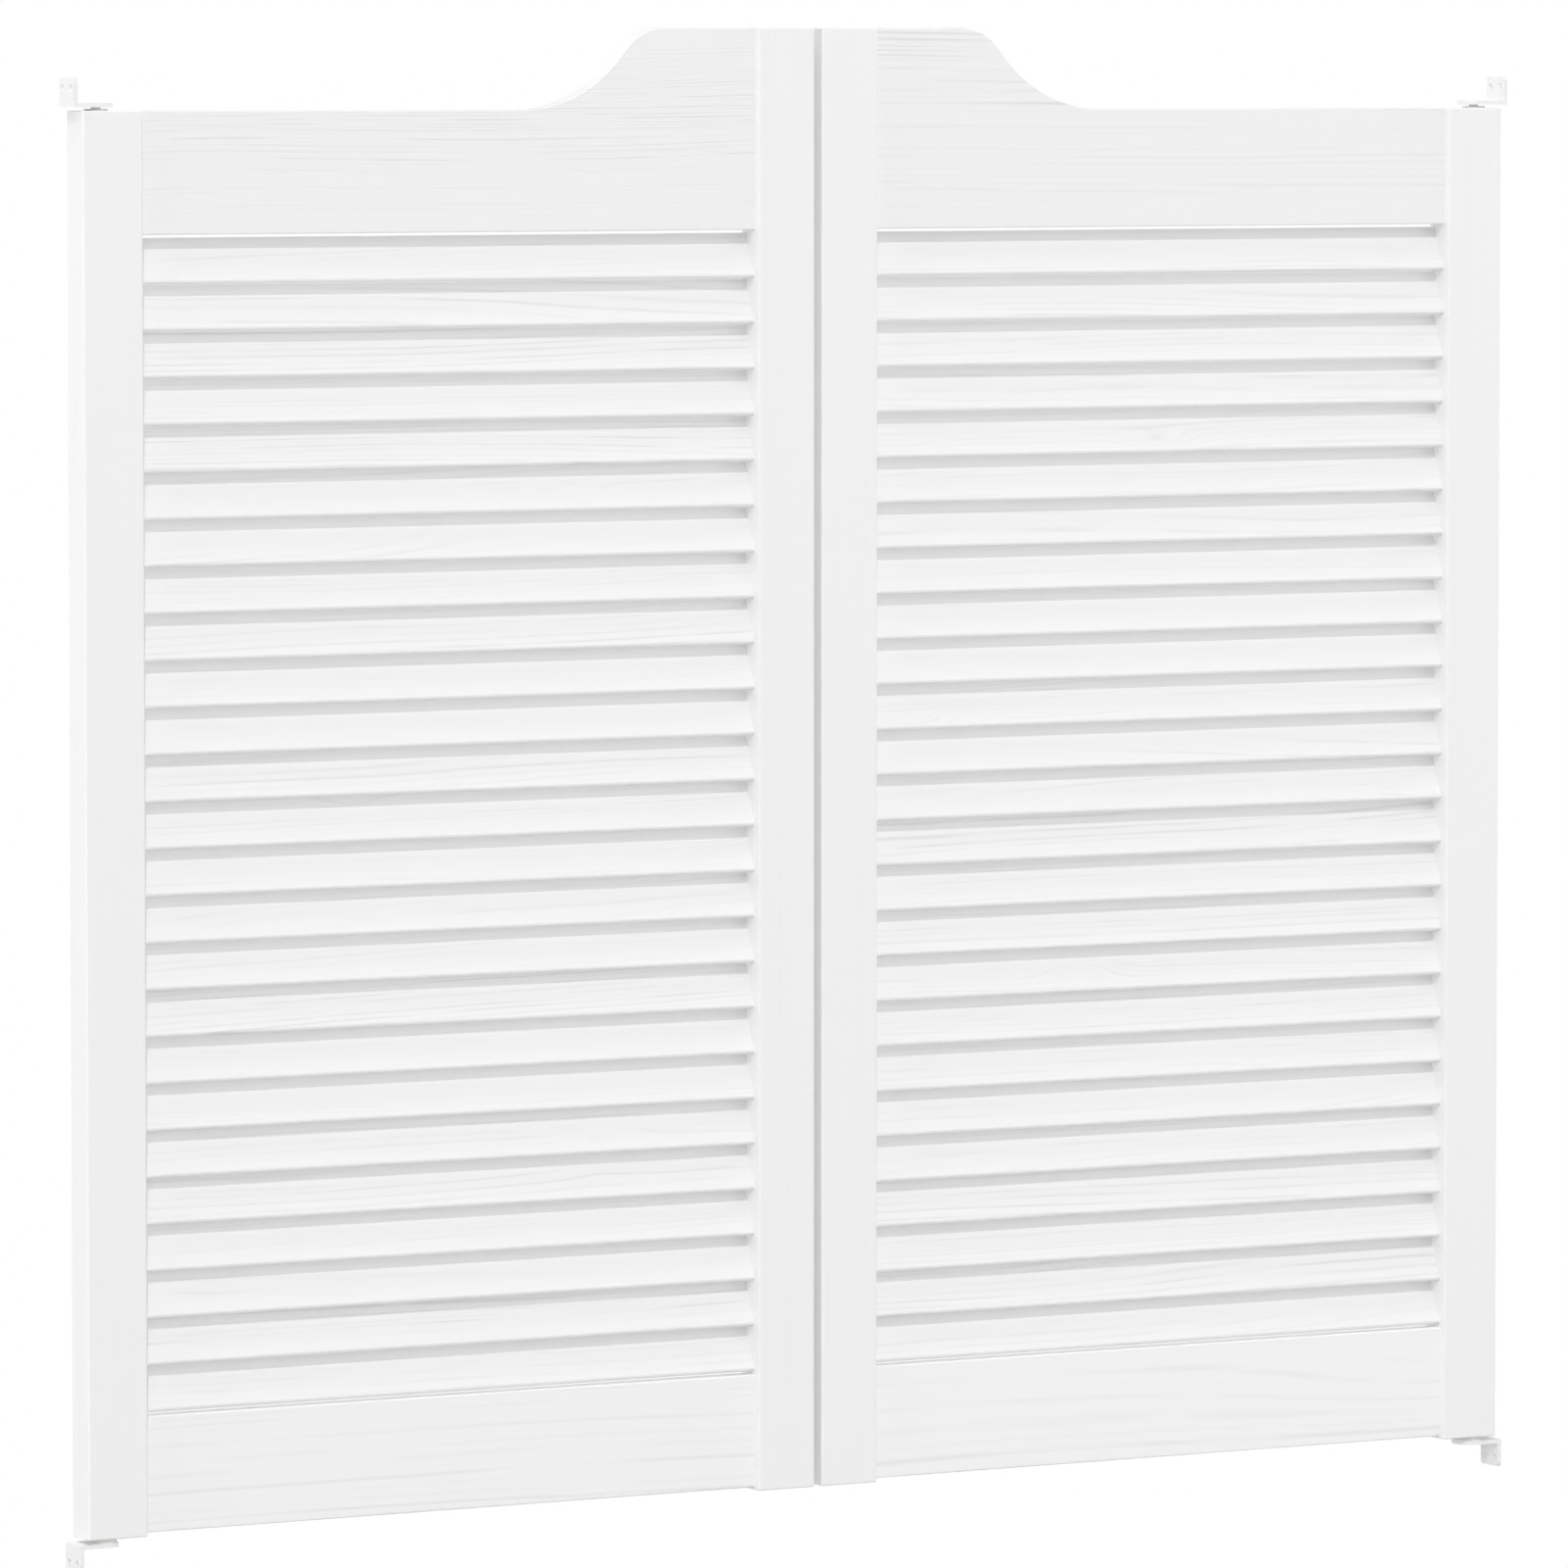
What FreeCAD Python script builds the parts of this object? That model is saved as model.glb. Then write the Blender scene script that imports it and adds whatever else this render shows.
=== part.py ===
import FreeCAD, Part
import math
import os

import Sketcher
from FreeCAD import Placement, Rotation, Vector

# A pair of louvred cafe swinging doors on sprung pivots. Each leaf is a frame of two stiles and
# two rails, dowelled together, with sloping slats let into the stiles. The leaves swing both ways
# about pivots in the ends of their outer stiles, which stand on brackets for the doorway's jambs.
# Millimetres, +Z up. X runs along the closed leaves and the front faces -Y. The origin is the
# middle of the whole pair, brackets included.

doc = FreeCAD.newDocument("CafeDoors")
sheet = doc.addObject("Spreadsheet::Sheet", "Sizes")

# Driving sizes, in millimetres and degrees.
driving = {
    # the leaf: its gap to the other leaf, its width, and its height at the inner stile
    "leaf_gap": 5.0,
    "leaf_width": 497.5,
    "leaf_height": 900.0,
    # the top edge drops from the hump to the shoulder in an ogee of two tangent arcs
    "hump_rise": 50.0,
    "hump_flat": 102.0,
    "crest_radius": 35.0,
    "hollow_radius": 90.0,
    # stiles
    "stile_width": 39.5,
    "stile_thick": 22.5,
    "stile_arris": 1.5,
    "end_arris": 1.0,
    # rails: the head rail's height is taken at its shoulder
    "rail_thick": 12.0,
    "rail_height": 70.0,
    "head_height": 73.7,
    "rail_lift": 1.75,
    "rail_arris": 1.0,
    # slats: tilted from the vertical, with the lower edge to the front
    "slat_count": 25.0,
    "slat_width": 30.0,
    "slat_thick": 4.0,
    "slat_tilt": 25.0,
    "slat_edge": 1.9,
    "slat_setback": 5.5,
    "slat_rail_gap": 1.2,
    "housing_depth": 6.0,
    "housing_play": 0.1,
    "slat_end_play": 0.5,
    # dowels between stiles and rails
    "dowel_diameter": 6.0,
    "dowel_length": 32.0,
    "dowel_inset": 16.0,
    "dowel_end_play": 1.0,
    # the pivot's place: in from the stile's outer edge, which stands clear of the jamb
    "pivot_inset": 14.0,
    "jamb_gap": 5.0,
    # jamb brackets: an arm over the stile's end and a leg on the jamb
    "bracket_width": 20.0,
    "bracket_thick": 2.5,
    "bracket_leg": 17.5,
    "bracket_tail": 9.0,
    "bracket_round": 7.0,
    "bracket_corner": 2.5,
    "screw_hole": 4.0,
    "screw_spacing": 11.0,
    "screw_edge": 6.0,
    # top pivot: a pin in a flanged bush
    "pin_diameter": 6.0,
    "pin_reach": 12.0,
    "head_bush_wall": 2.0,
    "head_bush_depth": 15.0,
    "head_flange_rim": 2.0,
    "head_flange_thick": 1.0,
    "head_play": 1.0,
    # bottom pivot: a spindle in a flanged bush, which stands on a washer
    "spindle_diameter": 7.0,
    "spindle_reach": 44.0,
    "foot_bush_depth": 8.0,
    "foot_flange_rim": 1.8,
    "foot_flange_thick": 1.5,
    "washer_thick": 1.0,
    "thrust_play": 0.1,
    "running_play": 0.05,
    # return spring, coiled round the spindle inside a capped sleeve
    "spring_wire": 2.0,
    "spring_coils": 16.0,
    "coil_gap": 0.1,
    "spring_play": 0.3,
    "sleeve_play": 1.0,
    "sleeve_wall": 1.0,
    "sleeve_cap": 1.5,
}

# Sizes worked out from the driving ones. Heights count from the foot of the leaf.
derived = {
    "outer_height": "leaf_height - hump_rise",
    "field_width": "leaf_width - 2 * stile_width",
    "field_floor": "rail_lift + rail_height",
    "field_top": "outer_height - head_height",
    "crown_width": "hump_flat - stile_width",
    "arc_sum": "crest_radius + hollow_radius",
    "ogee_length": "sqrt(arc_sum ^ 2 - (arc_sum - hump_rise) ^ 2)",
    "crest_share": "crest_radius / arc_sum",
    # places of the leaf's pieces along X, counted from the middle of the pair
    "field_x": "(leaf_gap + leaf_width) / 2",
    "outer_stile_x": "leaf_gap / 2 + leaf_width - stile_width / 2",
    "inner_stile_x": "leaf_gap / 2 + stile_width / 2",
    "pivot_x": "leaf_gap / 2 + leaf_width - pivot_inset",
    "pivot_offset": "stile_width / 2 - pivot_inset",
    # the slats spread evenly over the field, with the same gap to both rails
    "slat_rise": "slat_width * cos(slat_tilt * 1deg) + slat_thick * sin(slat_tilt * 1deg)",
    "slat_run": "slat_width * sin(slat_tilt * 1deg) + slat_thick * cos(slat_tilt * 1deg)",
    "slat_spread": "field_top - field_floor - slat_rise - 2 * slat_rail_gap",
    "slat_pitch": "slat_spread / (slat_count - 1)",
    "first_slat": "field_floor + slat_rail_gap + slat_rise / 2",
    "slat_y": "slat_setback + slat_run / 2 - stile_thick / 2",
    "slat_length": "field_width + 2 * (housing_depth - slat_end_play)",
    "housing_width": "slat_width + 2 * housing_play",
    "housing_thick": "slat_thick + 2 * housing_play",
    "dowel_hole": "dowel_length / 2 + dowel_end_play",
    # pivots
    "bracket_reach": "pivot_inset + jamb_gap",
    "head_gap": "head_flange_thick + head_play",
    "foot_gap": "foot_flange_thick + washer_thick + thrust_play",
    "head_bush_bore": "pin_diameter + 2 * running_play",
    "head_bush_diameter": "head_bush_bore + 2 * head_bush_wall",
    "head_flange_diameter": "head_bush_diameter + 2 * head_flange_rim",
    "foot_bush_bore": "spindle_diameter + 2 * running_play",
    "coil_diameter": "spindle_diameter + 2 * spring_play + spring_wire",
    "coil_pitch": "spring_wire + coil_gap",
    "spring_height": "spring_coils * coil_pitch",
    "sleeve_bore": "coil_diameter + spring_wire + 2 * spring_play",
    "sleeve_diameter": "sleeve_bore + 2 * sleeve_wall",
    "sleeve_room": "max(foot_bush_depth + spring_height + spring_wire; spindle_reach) + sleeve_play",
    "sleeve_depth": "sleeve_room + sleeve_cap",
    "foot_flange_diameter": "sleeve_diameter + 2 * foot_flange_rim",
    # the leaf's foot, counted from the middle of the whole pair
    "foot_z": "(foot_gap + bracket_leg - leaf_height) / 2",
}

for row, (alias, number) in enumerate(driving.items(), start=1):
    sheet.set(f"A{row}", alias)
    sheet.set(f"B{row}", str(number))
    sheet.setAlias(f"B{row}", alias)
for row, (alias, formula) in enumerate(derived.items(), start=len(driving) + 1):
    sheet.set(f"A{row}", alias)
    sheet.set(f"B{row}", "=" + formula)
    sheet.setAlias(f"B{row}", alias)
    doc.recompute()


# The number that a size has now, for a sketch's first shape and for counting.
def size(alias):
    return float(sheet.get(alias))


# Writes a formula of the sheet's names so that an object's property can follow it.
def from_sheet(formula):
    words = formula.replace("(", "( ").replace(")", " )").split()
    return " ".join("Sizes." + word if word in driving or word in derived else word for word in words)


def bind(thing, **formulas):
    for name, formula in formulas.items():
        thing.setExpression(name.replace("__", "."), from_sheet(formula))


# Starts a piece whose own origin lies at x and z on the leaf's middle plane.
def piece(label, x, z):
    body = doc.addObject("PartDesign::Body", label)
    body.Label = label
    bind(body, Placement__Base__x=x, Placement__Base__z=z)
    return body


# A sketch on one of the piece's own planes, moved out along its normal by a formula, and turned
# clockwise in its plane.
def sketch_on(body, plane_role, name, across="0", up="0", out="0", turn=None):
    plane = next(item for item in body.Origin.OriginFeatures if item.Role == plane_role)
    sketch = body.newObject("Sketcher::SketchObject", name)
    sketch.AttachmentSupport = [(plane, "")]
    sketch.MapMode = "FlatFace"
    if turn:
        sketch.AttachmentOffset = Placement(Vector(), Rotation(Vector(0, 0, -1), size(turn)))
        bind(sketch, AttachmentOffset__Rotation__Angle=turn)
    bind(sketch, AttachmentOffset__Base__x=across)
    bind(sketch, AttachmentOffset__Base__y=up)
    bind(sketch, AttachmentOffset__Base__z=out)
    return sketch


# What a dimension measures in a sketch as it is drawn so far.
def as_drawn(sketch, kind, where):
    if kind == "Radius":
        return sketch.Geometry[where[0]].Radius
    if kind == "Diameter":
        return 2 * sketch.Geometry[where[0]].Radius
    first, last = sketch.getPoint(*where[:2]), sketch.getPoint(*where[2:])
    return (last - first).x if kind == "DistanceX" else (last - first).y


# Adds a dimension to a sketch, which then follows a formula of the sheet.
def dimension(sketch, name, kind, *where, formula):
    drawn = as_drawn(sketch, kind, where)
    index = sketch.addConstraint(Sketcher.Constraint(kind, *where, drawn))
    sketch.renameConstraint(index, name)
    sketch.setExpression(f"Constraints.{name}", from_sheet(formula))


# Sketcher's numbers for the points of a curve, and its name for a sketch's origin.
START, END, CENTRE = range(1, 4)
ORIGIN = (-1, START)


# A rectangle about the sketch's origin, with every corner rounded to one radius.
def rounded_rectangle(sketch, width, height, radius):
    half_x = size(width) / 2
    half_y = size(height) / 2
    round_off = size(radius)
    corners = [(1, -1), (1, 1), (-1, 1), (-1, -1)]
    sides = []
    arcs = []
    for turn, (sign_x, sign_y) in enumerate(corners):
        before_x, before_y = corners[turn - 1]
        # the side that ends at this corner runs along the edge shared with the corner before
        along = Vector(sign_x - before_x, sign_y - before_y) / 2
        first = Vector(before_x * half_x, before_y * half_y) + along * round_off
        last = Vector(sign_x * half_x, sign_y * half_y) - along * round_off
        sides.append(sketch.addGeometry(Part.LineSegment(first, last), False))
        middle = Vector(sign_x * (half_x - round_off), sign_y * (half_y - round_off))
        circle = Part.Circle(middle, Vector(0, 0, 1), round_off)
        arc = Part.ArcOfCircle(circle, math.radians(90 * turn - 90), math.radians(90 * turn))
        arcs.append(sketch.addGeometry(arc, False))
    for turn in range(4):
        sketch.addConstraint(Sketcher.Constraint("Tangent", sides[turn], END, arcs[turn], START))
        following = sides[(turn + 1) % 4]
        sketch.addConstraint(Sketcher.Constraint("Tangent", arcs[turn], END, following, START))
    for index, kind in enumerate(["Horizontal", "Vertical", "Horizontal", "Vertical"]):
        sketch.addConstraint(Sketcher.Constraint(kind, sides[index]))
    for arc in arcs[1:]:
        sketch.addConstraint(Sketcher.Constraint("Equal", arcs[0], arc))
    sketch.addConstraint(Sketcher.Constraint("Symmetric", sides[0], START, sides[2], START, *ORIGIN))
    dimension(sketch, "corner", "Radius", arcs[0], formula=radius)
    dimension(sketch, "width", "DistanceX", sides[3], START, sides[1], START, formula=width)
    dimension(sketch, "height", "DistanceY", sides[0], START, sides[2], START, formula=height)


# Circles along one upright line of a sketch, at the heights given by formulas.
def circles(sketch, diameter, heights, across="0"):
    for number, height in enumerate(heights):
        start = Vector(0, 2 * number * size(diameter), 0)
        index = sketch.addGeometry(Part.Circle(start, Vector(0, 0, 1), size(diameter) / 2), False)
        dimension(sketch, f"diameter{number}", "Diameter", index, formula=diameter)
        dimension(sketch, f"across{number}", "DistanceX", *ORIGIN, index, CENTRE, formula=across)
        dimension(sketch, f"height{number}", "DistanceY", *ORIGIN, index, CENTRE, formula=height)


def pad(body, sketch, length, both_ways=True):
    feature = body.newObject("PartDesign::Pad", "Pad")
    feature.Profile = sketch
    feature.SideType = "Symmetric" if both_ways else "One side"
    bind(feature, Length=length)
    body.Tip = feature
    doc.recompute()
    return feature


# Cuts a sketch that lies on a face into the piece. The cutter reaches as far outside the face as
# inside it, so it opens the face cleanly.
def pocket(body, sketch, depth):
    before = body.Shape.Volume
    feature = body.newObject("PartDesign::Pocket", "Pocket")
    feature.Profile = sketch
    feature.SideType = "Symmetric"
    bind(feature, Length=f"2 * ( {depth} )")
    body.Tip = feature
    doc.recompute()
    if body.Shape.Volume >= before:
        raise ValueError(f"{body.Label}: a pocket cuts nothing")
    return feature


# Repeats features upward.
def stack(body, features, pitch, count):
    pattern = body.newObject("PartDesign::LinearPattern", "Stack")
    pattern.Originals = features
    upward = next(item for item in body.Origin.OriginFeatures if item.Role == "Z_Axis")
    pattern.Direction = (upward, [""])
    pattern.Mode = "Spacing"
    bind(pattern, Offset=pitch, Occurrences=count)
    body.Tip = pattern
    doc.recompute()
    return pattern


# Rounds or bevels those edges of the piece that the test picks.
def soften(body, kind, amount, test):
    base = body.Tip
    edges = base.Shape.Edges
    names = [f"Edge{number}" for number, edge in enumerate(edges, start=1) if test(edge)]
    feature = body.newObject(f"PartDesign::{kind}", kind)
    feature.Base = (base, names)
    bind(feature, **{"Radius" if kind == "Fillet" else "Size": amount})
    body.Tip = feature
    doc.recompute()
    return feature


# Two lengths that differ by less than this are the same.
tolerance = 1e-4


# Whether all of an edge lies at one place along X, Y or Z.
def lies_at(edge, axis, place):
    box = edge.BoundBox
    low, high = getattr(box, axis + "Min"), getattr(box, axis + "Max")
    return abs(low - place) < tolerance and abs(high - place) < tolerance


# Whether an edge is as long as a size along X, Y or Z.
def spans(edge, axis, length):
    return abs(getattr(edge.BoundBox, axis + "Length") - length) < tolerance


# A solid of revolution about the piece's upright axis: stacked cylinders, each given by its
# diameter, its lower end and its height. Those that start with "cut" are taken away.
def turned(label, x, z, *cylinders):
    body = piece(label, x, z)
    for action, diameter, low, height in cylinders:
        kind = "SubtractiveCylinder" if action == "cut" else "AdditiveCylinder"
        feature = body.newObject(f"PartDesign::{kind}", "Cylinder")
        bind(feature, Radius=f"( {diameter} ) / 2", Height=height)
        plane = next(item for item in body.Origin.OriginFeatures if item.Role == "XY_Plane")
        feature.AttachmentSupport = [(plane, "")]
        feature.MapMode = "FlatFace"
        bind(feature, AttachmentOffset__Base__z=low)
        body.Tip = feature
        doc.recompute()
    return body


# A stile: its section stands the height of the leaf, with housings for the slats and holes for the
# dowels in the side that looks at the field. "inward" is the way along X from the stile to the field.
def stile(label, x, height, inward):
    body = piece(label, x, "foot_z")
    section = sketch_on(body, "XY_Plane", "Section")
    rounded_rectangle(section, "stile_width", "stile_thick", "stile_arris")
    pad(body, section, height, both_ways=False)
    top = size(height)
    soften(body, "Fillet", "end_arris", lambda edge: lies_at(edge, "Z", 0) or lies_at(edge, "Z", top))

    face = f"{inward} * stile_width / 2"
    slot = sketch_on(body, "YZ_Plane", "Housing", "slat_y", "first_slat", face, turn="slat_tilt")
    rounded_rectangle(slot, "housing_thick", "housing_width", "slat_edge")
    housing = pocket(body, slot, "housing_depth")
    stack(body, [housing], "slat_pitch", "slat_count")

    holes = sketch_on(body, "YZ_Plane", "DowelHoles", out=face)
    circles(holes, "dowel_diameter", dowel_heights(height))
    pocket(body, holes, "dowel_hole")
    return body


# Two dowels hold each rail end, set in from the rail's edges. "top" is the stile's own height.
def dowel_heights(top):
    return [
        "rail_lift + dowel_inset",
        "field_floor - dowel_inset",
        "field_top + dowel_inset",
        f"{top} - dowel_inset",
    ]


# An outer stile also has a bore in each end for the pivots.
def outer_stile(label, side):
    body = stile(label, f"{side} * outer_stile_x", "outer_height", inward=-side)
    across = f"{side} * pivot_offset"
    foot = sketch_on(body, "XY_Plane", "FootBore", across)
    circles(foot, "sleeve_diameter", ["0"])
    pocket(body, foot, "sleeve_depth")
    head = sketch_on(body, "XY_Plane", "HeadBore", across, out="outer_height")
    circles(head, "head_bush_diameter", ["0"])
    pocket(body, head, "head_bush_depth")
    return body


# Bores the ends of a rail for its dowels.
def bore_rail(body, outward, outer_heights, inner_heights):
    for name, way, heights in (("Outer", outward, outer_heights), ("Inner", -outward, inner_heights)):
        holes = sketch_on(body, "YZ_Plane", f"{name}Holes", out=f"{way} * field_width / 2")
        circles(holes, "dowel_diameter", heights)
        pocket(body, holes, "dowel_hole")


def bottom_rail(label, side):
    body = piece(label, f"{side} * field_x", "foot_z")
    section = sketch_on(body, "YZ_Plane", "Section", up="rail_lift + rail_height / 2")
    rounded_rectangle(section, "rail_thick", "rail_height", "rail_arris")
    pad(body, section, "field_width")
    heights = dowel_heights("outer_height")[:2]
    bore_rail(body, side, heights, heights)
    return body


# The head rail: level over the field, with a shoulder at the outer stile, an ogee up to the hump,
# and the hump's flat against the inner stile. "side" points from the hump to the shoulder.
def head_rail(label, side):
    body = piece(label, f"{side} * field_x", "foot_z")
    sketch = sketch_on(body, "XZ_Plane", "Outline")
    half = size("field_width") / 2
    floor = size("field_top")
    shoulder = size("outer_height")
    crown = size("leaf_height")
    crest = size("crest_radius")
    hollow = size("hollow_radius")
    hump_end = size("crown_width") - half
    hump_foot = hump_end + size("ogee_length")
    share = size("crest_share")
    bend = Vector(hump_end + share * size("ogee_length"), crown - share * size("hump_rise"))

    # corners, counted along the outline from the foot of the inner end
    corners = [
        Vector(-half, floor),
        Vector(half, floor),
        Vector(half, shoulder),
        Vector(hump_foot, shoulder),
        bend,
        Vector(hump_end, crown),
        Vector(-half, crown),
    ]
    corners = [Vector(side * corner.x, corner.y) for corner in corners]
    crest_middle = Vector(side * hump_end, crown - crest)
    hollow_middle = Vector(side * hump_foot, shoulder + hollow)

    def line(first, last):
        return sketch.addGeometry(Part.LineSegment(corners[first], corners[last]), False)

    # the arc about a middle from one corner to another, which is under half a turn, and its ends
    def arc(middle, radius, first, last):
        angles = [math.atan2((end - middle).y, (end - middle).x) for end in (corners[first], corners[last])]
        counter_clockwise = math.sin(angles[1] - angles[0]) > 0
        if not counter_clockwise:
            angles.reverse()
        circle = Part.Circle(middle, Vector(0, 0, 1), radius)
        index = sketch.addGeometry(Part.ArcOfCircle(circle, *angles), False)
        return (index, START, END) if counter_clockwise else (index, END, START)

    foot_line = line(0, 1)
    outer_end = line(1, 2)
    shoulder_line = line(2, 3)
    hollow_arc, hollow_first, hollow_last = arc(hollow_middle, hollow, 3, 4)
    crest_arc, crest_first, crest_last = arc(crest_middle, crest, 4, 5)
    hump_line = line(5, 6)
    inner_end = line(6, 0)

    joins = [
        ("Coincident", foot_line, END, outer_end, START),
        ("Coincident", outer_end, END, shoulder_line, START),
        ("Tangent", shoulder_line, END, hollow_arc, hollow_first),
        ("Tangent", hollow_arc, hollow_last, crest_arc, crest_first),
        ("Tangent", crest_arc, crest_last, hump_line, START),
        ("Coincident", hump_line, END, inner_end, START),
        ("Coincident", inner_end, END, foot_line, START),
    ]
    for join in joins:
        sketch.addConstraint(Sketcher.Constraint(*join))
    for level in (foot_line, shoulder_line, hump_line):
        sketch.addConstraint(Sketcher.Constraint("Horizontal", level))
    for upright in (outer_end, inner_end):
        sketch.addConstraint(Sketcher.Constraint("Vertical", upright))
    place = (*ORIGIN, foot_line, START)
    dimension(sketch, "inner", "DistanceX", *place, formula=f"{-side} * field_width / 2")
    dimension(sketch, "floor", "DistanceY", *place, formula="field_top")
    dimension(sketch, "length", "DistanceX", *ends(foot_line, side), formula="field_width")
    dimension(sketch, "shoulder", "DistanceY", outer_end, START, outer_end, END, formula="head_height")
    dimension(sketch, "crown", "DistanceX", *ends(hump_line, -side), formula="crown_width")
    dimension(sketch, "crest", "Radius", crest_arc, formula="crest_radius")
    dimension(sketch, "hollow", "Radius", hollow_arc, formula="hollow_radius")
    rise = (shoulder_line, START, hump_line, START)
    dimension(sketch, "rise", "DistanceY", *rise, formula="hump_rise")
    pad(body, sketch, "rail_thick")

    # every edge of the front and back but the ends, which butt against the stiles
    half_thick = size("rail_thick") / 2

    def is_arris(edge):
        on_face = lies_at(edge, "Y", half_thick) or lies_at(edge, "Y", -half_thick)
        return on_face and not lies_at(edge, "X", half) and not lies_at(edge, "X", -half)

    soften(body, "Fillet", "rail_arris", is_arris)
    bore_rail(body, side, dowel_heights("outer_height")[2:], dowel_heights("leaf_height")[2:])
    return body


# A line's two ends, in the order that runs along +X when the line itself runs the given way.
def ends(line, way):
    return (line, START, line, END) if way > 0 else (line, END, line, START)


# Slats one above another, from the given one up, which are counted from the bottom of the leaf.
def slats(label, side, lowest, count):
    body = piece(label, f"{side} * field_x", f"foot_z + first_slat + {lowest - 1} * slat_pitch")
    section = sketch_on(body, "YZ_Plane", "Section", "slat_y", turn="slat_tilt")
    rounded_rectangle(section, "slat_thick", "slat_width", "slat_edge")
    slat = pad(body, section, "slat_length")
    if count > 1:
        stack(body, [slat], "slat_pitch", str(count))
    return body


# The eight dowels of a leaf.
def dowels(label, side):
    body = piece(label, f"{side} * field_x", "foot_z")
    for name, way, top in (("Outer", side, "outer_height"), ("Inner", -side, "leaf_height")):
        sketch = sketch_on(body, "YZ_Plane", f"{name}Ends", out=f"{way} * field_width / 2")
        circles(sketch, "dowel_diameter", dowel_heights(top))
        pad(body, sketch, "dowel_length")
    return body


# A bent plate: an arm that holds the pivot over or under the stile's end, and a leg with two screw
# holes that turns away from the stile along the jamb. "side" is the way along X from the pivot to
# the jamb, and "away" is the way along Z that the leg turns. The arm's stile side is at z = 0.
def bracket(label, side, away, z, pin):
    body = piece(label, f"{side} * pivot_x", z)
    sketch = sketch_on(body, "XZ_Plane", "Profile")
    reach = size("bracket_reach")
    tail = size("bracket_tail")
    thick = size("bracket_thick")
    leg = size("bracket_leg")
    inner = reach - thick
    corners = [(-tail, 0), (reach, 0), (reach, leg), (inner, leg), (inner, thick), (-tail, thick)]
    corners = [Vector(side * x, away * up) for x, up in corners]
    lines = []
    for number, corner in enumerate(corners):
        after = corners[(number + 1) % len(corners)]
        lines.append(sketch.addGeometry(Part.LineSegment(corner, after), False))
    for number, index in enumerate(lines):
        following = lines[(number + 1) % len(lines)]
        sketch.addConstraint(Sketcher.Constraint("Coincident", index, END, following, START))
        kind = "Vertical" if number % 2 else "Horizontal"
        sketch.addConstraint(Sketcher.Constraint(kind, index))
    under, back, _, inside, arm, _ = lines
    dimension(sketch, "tail", "DistanceX", *ORIGIN, under, START, formula=f"{-side} * bracket_tail")
    dimension(sketch, "level", "DistanceY", *ORIGIN, under, START, formula="0")
    dimension(sketch, "reach", "DistanceX", *ORIGIN, back, START, formula=f"{side} * bracket_reach")
    dimension(sketch, "leg", "DistanceY", *ORIGIN, back, END, formula=f"{away} * bracket_leg")
    dimension(sketch, "plate", "DistanceY", *ORIGIN, arm, START, formula=f"{away} * bracket_thick")
    foot = f"{side} * ( bracket_reach - bracket_thick )"
    dimension(sketch, "fold", "DistanceX", *ORIGIN, inside, START, formula=foot)
    pad(body, sketch, "bracket_width")

    def is_tip(edge):
        return lies_at(edge, "X", -side * tail) and spans(edge, "Z", thick)

    def is_leg_corner(edge):
        return lies_at(edge, "Z", away * leg) and spans(edge, "X", thick)

    def is_fold(edge):
        return lies_at(edge, "X", side * inner) and lies_at(edge, "Z", away * thick)

    soften(body, "Fillet", "bracket_round", is_tip)
    soften(body, "Fillet", "bracket_corner", is_leg_corner)
    soften(body, "Fillet", "bracket_thick / 2", is_fold)

    pin_hole = sketch_on(body, "XY_Plane", "PinHole")
    circles(pin_hole, pin, ["0"])
    pocket(body, pin_hole, "2 * bracket_thick")
    leg_height = f"{away} * ( bracket_leg - screw_edge )"
    for name, way in (("FrontScrew", -1), ("BackScrew", 1)):
        screw = sketch_on(body, "YZ_Plane", name, out=f"{side} * bracket_reach")
        circles(screw, "screw_hole", [leg_height], across=f"{way} * screw_spacing / 2")
        pocket(body, screw, "2 * bracket_thick")
    return body


# The top pivot: a pin in the bracket's arm, which hangs into a flanged bush in the stile's end.
def top_pivot(name, side):
    head_z = "foot_z + outer_height + head_gap"
    bracket(f"{name}_top_bracket", side, 1, head_z, "pin_diameter")
    place = (f"{side} * pivot_x", "foot_z + outer_height")
    length = "bracket_thick + head_gap + pin_reach"
    pin = turned(f"{name}_top_pin", *place, ("add", "pin_diameter", "-1 * pin_reach", length))
    soften(pin, "Chamfer", "pin_diameter / 10", lambda edge: lies_at(edge, "Z", -size("pin_reach")))
    turned(
        f"{name}_top_bush",
        *place,
        ("add", "head_bush_diameter", "-1 * head_bush_depth", "head_bush_depth"),
        ("add", "head_flange_diameter", "0", "head_flange_thick"),
        ("cut", "head_bush_bore", "-1 * head_bush_depth", "head_bush_depth + head_flange_thick"),
    )


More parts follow.
